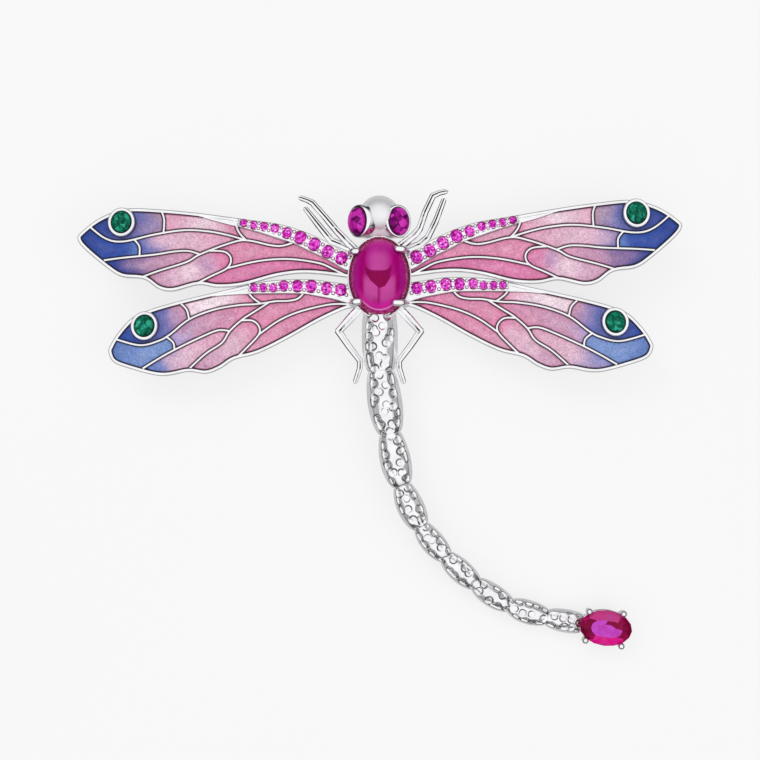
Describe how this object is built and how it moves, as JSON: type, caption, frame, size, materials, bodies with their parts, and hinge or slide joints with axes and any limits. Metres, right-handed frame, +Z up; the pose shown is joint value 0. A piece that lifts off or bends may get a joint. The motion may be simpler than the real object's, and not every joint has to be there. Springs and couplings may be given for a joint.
{
  "type": "insect brooch",
  "caption": "Dragonfly brooch: enamelled silver wings edged with small stones, oval stone thorax, stone eyes, curved hammered tail ending in an oval stone, and a pin behind the wings.",
  "frame": {"origin": "middle of the brooch's box seen from above, on the surface that it lies on", "axes": "+X towards the tips of the wings that are on the right seen from above, +Y towards the head, +Z up from the pin through the wings' face"},
  "size_m": [0.0698, 0.0539, 0.0083],
  "materials": {
    "silver": "polished silver",
    "enamel": "pearly fired enamel, pink at the root to blue at the tip",
    "pink_stone": "polished, faceted",
    "green_stone": "polished, domed",
    "ruby_stone": "polished",
    "eye_stone": "polished, domed"
  },
  "bodies": {
    "root": {"casting": "silver", "pin_fitting": "silver", "enamel_fore_right": "enamel", "enamel_fore_left": "enamel", "enamel_hind_right": "enamel", "enamel_hind_left": "enamel", "pave_fore_right": "pink_stone", "pave_fore_left": "pink_stone", "pave_hind_right": "pink_stone", "pave_hind_left": "pink_stone", "wing_stone_fore_right": "green_stone", "wing_stone_fore_left": "green_stone", "wing_stone_hind_right": "green_stone", "wing_stone_hind_left": "green_stone", "thorax_stone": "ruby_stone", "eye_stone_right": "eye_stone", "eye_stone_left": "eye_stone", "tail_stone": "ruby_stone"}
  },
  "joints": []
}
